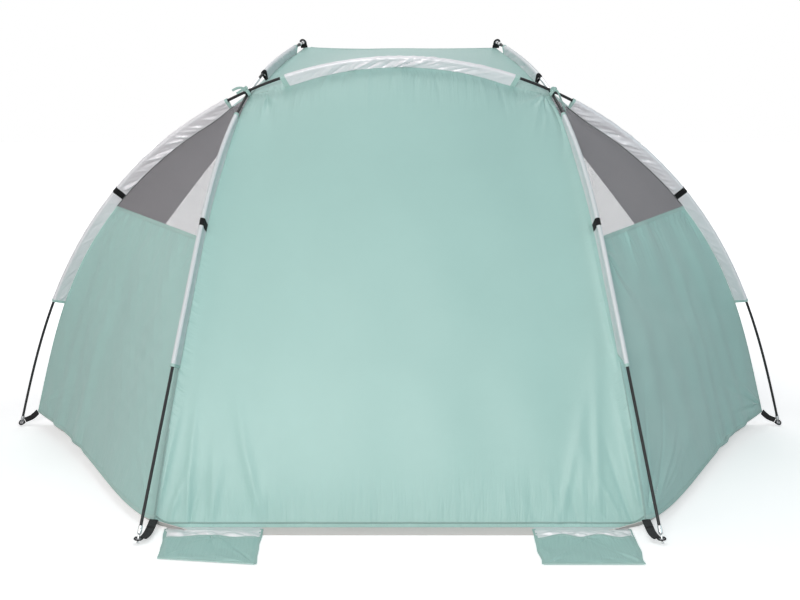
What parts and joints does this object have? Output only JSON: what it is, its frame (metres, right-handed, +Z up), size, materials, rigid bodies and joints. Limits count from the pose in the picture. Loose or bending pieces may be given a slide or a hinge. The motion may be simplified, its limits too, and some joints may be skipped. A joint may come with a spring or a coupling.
{
  "type": "beach tent",
  "caption": "Pitched beach shelter: rear hoop pole and two struts that reach forward over an awning, closed back wall, netting side windows, sand pockets and an open front.",
  "frame": {"origin": "on the ground, on the tent's middle plane, midway between the rear pole feet and the hoop's feet", "axes": "+X to the right seen from behind the tent, along the hoop's span; +Y forward to the open front; +Z up"},
  "size_m": [2.5144, 1.3704, 1.2466],
  "materials": {
    "fibreglass_pole": "dark pultruded fibreglass, silk",
    "shock_cord": "braided white elastic cord",
    "metal_tip": "zinc plated, turned",
    "webbing": "black woven webbing and hook-and-loop",
    "silver_cloth": "mint polyester turned with its silver coated face out",
    "mint_cloth": "plain-weave polyester, mint outside and silver coated inside",
    "netting": "fine black mesh",
    "ground_cloth": "light grey woven polyethylene"
  },
  "bodies": {
    "tent": {"hoop_section_1": "fibreglass_pole", "hoop_section_2": "fibreglass_pole", "hoop_section_3": "fibreglass_pole", "hoop_section_4": "fibreglass_pole", "hoop_section_5": "fibreglass_pole", "hoop_section_6": "fibreglass_pole", "hoop_shock_cord": "shock_cord", "left_strut_section_1": "fibreglass_pole", "left_strut_section_2": "fibreglass_pole", "left_strut_section_3": "fibreglass_pole", "left_strut_shock_cord": "shock_cord", "right_strut_section_1": "fibreglass_pole", "right_strut_section_2": "fibreglass_pole", "right_strut_section_3": "fibreglass_pole", "right_strut_shock_cord": "shock_cord", "left_front_pole_tip": "metal_tip", "left_front_strap": "webbing", "left_rear_pole_tip": "metal_tip", "left_rear_strap": "webbing", "left_awning_pole_tip": "metal_tip", "left_awning_strap": "webbing", "right_front_pole_tip": "metal_tip", "right_front_strap": "webbing", "right_rear_pole_tip": "metal_tip", "right_rear_strap": "webbing", "right_awning_pole_tip": "metal_tip", "right_awning_strap": "webbing", "crown_sleeve": "silver_cloth", "left_lower_hoop_sleeve": "silver_cloth", "left_upper_hoop_sleeve": "silver_cloth", "left_lower_strut_sleeve": "silver_cloth", "left_upper_strut_sleeve": "silver_cloth", "left_awning_sleeve": "silver_cloth", "right_lower_hoop_sleeve": "silver_cloth", "right_upper_hoop_sleeve": "silver_cloth", "right_lower_strut_sleeve": "silver_cloth", "right_upper_strut_sleeve": "silver_cloth", "right_awning_sleeve": "silver_cloth", "left_hoop_tie_band": "webbing", "left_strut_tie_band": "webbing", "left_crossing_tie": "mint_cloth", "right_hoop_tie_band": "webbing", "right_strut_tie_band": "webbing", "right_crossing_tie": "mint_cloth", "rear_wall": "mint_cloth", "left_side_wall": "mint_cloth", "left_side_window": "netting", "left_wing": "mint_cloth", "right_side_wall": "mint_cloth", "right_side_window": "netting", "right_wing": "mint_cloth", "awning": "mint_cloth", "groundsheet": "ground_cloth"},
    "left_sand_pocket_body": {"left_sand_pocket": "mint_cloth"},
    "right_sand_pocket_body": {"right_sand_pocket": "mint_cloth"},
    "left_hoop_tie_tail_body": {"left_hoop_tie_tail": "webbing"},
    "left_strut_tie_tail_body": {"left_strut_tie_tail": "webbing"},
    "right_hoop_tie_tail_body": {"right_hoop_tie_tail": "webbing"},
    "right_strut_tie_tail_body": {"right_strut_tie_tail": "webbing"}
  },
  "joints": [
    {"name": "left_sand_pocket_fold", "type": "hinge", "parent": "tent", "child": "left_sand_pocket_body", "pos_m": [-0.452, -0.47475, 0.0018], "axis": [-1, 0, 0], "range_deg": [0, 85]},
    {"name": "right_sand_pocket_fold", "type": "hinge", "parent": "tent", "child": "right_sand_pocket_body", "pos_m": [0.452, -0.47475, 0.0018], "axis": [-1, 0, 0], "range_deg": [0, 85]},
    {"name": "left_hoop_tie_lift", "type": "hinge", "parent": "tent", "child": "left_hoop_tie_tail_body", "pos_m": [-0.82551, 0.20256, 0.80681], "axis": [0.7806, -0.2996, 0.5485], "range_deg": [0, 150]},
    {"name": "left_strut_tie_lift", "type": "hinge", "parent": "tent", "child": "left_strut_tie_tail_body", "pos_m": [-0.52274, -0.22926, 0.74653], "axis": [0.3277, 0.6268, 0.707], "range_deg": [0, 150]},
    {"name": "right_hoop_tie_lift", "type": "hinge", "parent": "tent", "child": "right_hoop_tie_tail_body", "pos_m": [0.82551, 0.20256, 0.80681], "axis": [0.7806, 0.2996, -0.5485], "range_deg": [0, 150]},
    {"name": "right_strut_tie_lift", "type": "hinge", "parent": "tent", "child": "right_strut_tie_tail_body", "pos_m": [0.52274, -0.22926, 0.74653], "axis": [0.3277, -0.6268, -0.707], "range_deg": [0, 150]}
  ]
}
